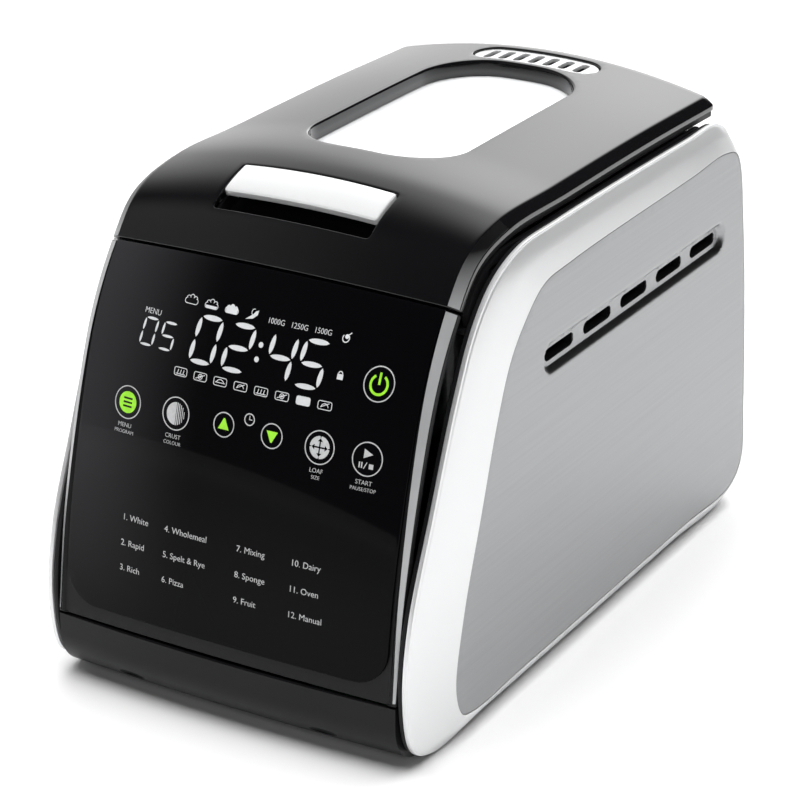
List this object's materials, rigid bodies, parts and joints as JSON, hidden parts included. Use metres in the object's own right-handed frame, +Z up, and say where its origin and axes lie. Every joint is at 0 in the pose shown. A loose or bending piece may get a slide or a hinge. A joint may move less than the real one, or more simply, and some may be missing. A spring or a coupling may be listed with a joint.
{
  "type": "bread machine",
  "caption": "Countertop bread machine: curved black lid with window, chrome grip and vent, black glass touch front, steel side panels in silver frames, lift-out pan with paddles.",
  "frame": {"origin": "centre of the footprint, on the surface that the feet stand on", "axes": "+Z up, -Y towards the glass front, +X to the right seen from the front"},
  "size_m": [0.244, 0.4106, 0.2877],
  "materials": {
    "black_gloss": "high gloss moulded",
    "black_satin": "satin moulded",
    "front_glass": "black back-printed glass",
    "clear_glass": "clear toughened glass",
    "silver": "satin silver paint",
    "steel": "brushed along the length",
    "chrome": "polished",
    "zinc": "plain zinc plated sheet",
    "aluminium": "die cast, machined",
    "pan_coating": "dark non-stick coating",
    "rubber": "matte",
    "board": "printed circuit board",
    "ceramic": "unglazed steatite",
    "motor_steel": "plain plated can"
  },
  "bodies": {
    "root": {"base_tray": "black_satin", "foot_front_left": "rubber", "foot_front_right": "rubber", "foot_rear_left": "rubber", "foot_rear_right": "rubber", "cord_gland": "rubber", "rear_cover": "black_satin", "top_deck": "black_satin", "hinge_pin_left": "zinc", "hinge_pin_right": "zinc", "front_fascia": "black_satin", "front_glass": "front_glass", "display_module": "black_satin", "control_board": "board", "power_board": "board", "side_wall_left": "black_satin", "side_wall_right": "black_satin", "side_frame_left": "silver", "side_frame_right": "silver", "side_panel_left": "steel", "side_panel_right": "steel", "oven_chamber": "zinc", "heating_element": "zinc", "heater_bush_left": "ceramic", "heater_bush_right": "ceramic", "temperature_sensor": "zinc", "pan_clip_front": "zinc", "pan_clip_rear": "zinc", "bearing_front": "zinc", "bearing_rear": "zinc", "drive_belt": "rubber", "link_belt": "rubber", "motor": "motor_steel", "motor_bracket": "zinc", "chassis_bench": "zinc"},
    "lid": {"lid_skin": "black_gloss", "lid_window": "clear_glass", "lid_vent_grille": "silver", "handle_pocket": "black_satin", "lid_handle": "chrome", "lid_rim": "black_satin", "lid_liner": "zinc", "lid_inner_glass": "clear_glass", "lid_seal": "rubber"},
    "pan": {"bread_pan": "pan_coating", "pan_bush_front": "aluminium", "pan_bush_rear": "aluminium"},
    "bail": {"pan_handle": "zinc"},
    "shaft_front": {"pan_shaft_front": "zinc"},
    "shaft_rear": {"pan_shaft_rear": "zinc"},
    "kneader_front": {"paddle_front": "pan_coating"},
    "kneader_rear": {"paddle_rear": "pan_coating"},
    "drive_front": {"drive_spindle_front": "zinc", "drive_pulley_front": "black_satin"},
    "drive_rear": {"drive_spindle_rear": "zinc", "link_pulley_rear": "black_satin"},
    "rotor": {"motor_pulley": "zinc"}
  },
  "joints": [
    {"name": "lid_hinge", "type": "hinge", "parent": "root", "child": "lid", "pos_m": [0, 0.162, 0.257], "axis": [-1, 0, 0], "range_deg": [0, 95]},
    {"name": "pan_lift", "type": "slide", "parent": "root", "child": "pan", "axis": [0, 0, 1], "range_m": [0, 0.02]},
    {"name": "bail_swing", "type": "hinge", "parent": "pan", "child": "bail", "pos_m": [0, 0.025, 0.218], "axis": [-1, 0, 0], "range_deg": [0, 138]},
    {"name": "drive_front_spin", "type": "hinge", "parent": "root", "child": "drive_front", "pos_m": [0, -0.03, 0.05], "axis": [0, 0, 1], "continuous": true},
    {"name": "drive_rear_spin", "type": "hinge", "parent": "root", "child": "drive_rear", "pos_m": [0, 0.08, 0.05], "axis": [0, 0, 1], "continuous": true},
    {"name": "motor_spin", "type": "hinge", "parent": "root", "child": "rotor", "pos_m": [-0.04, -0.126, 0.03], "axis": [0, 0, 1], "continuous": true},
    {"name": "shaft_front_spin", "type": "hinge", "parent": "pan", "child": "shaft_front", "pos_m": [0, -0.03, 0.11], "axis": [0, 0, 1], "continuous": true},
    {"name": "shaft_rear_spin", "type": "hinge", "parent": "pan", "child": "shaft_rear", "pos_m": [0, 0.08, 0.11], "axis": [0, 0, 1], "continuous": true},
    {"name": "paddle_front_lift", "type": "slide", "parent": "shaft_front", "child": "kneader_front", "axis": [0, 0, 1], "range_m": [0, 0.03]},
    {"name": "paddle_rear_lift", "type": "slide", "parent": "shaft_rear", "child": "kneader_rear", "axis": [0, 0, 1], "range_m": [0, 0.03]}
  ],
  "couplings": [
    {"joint": "drive_rear_spin", "follows": "drive_front_spin", "ratio": 1},
    {"joint": "motor_spin", "follows": "drive_front_spin", "ratio": 4.3654},
    {"joint": "shaft_front_spin", "follows": "drive_front_spin", "ratio": 1},
    {"joint": "shaft_rear_spin", "follows": "drive_front_spin", "ratio": 1}
  ]
}
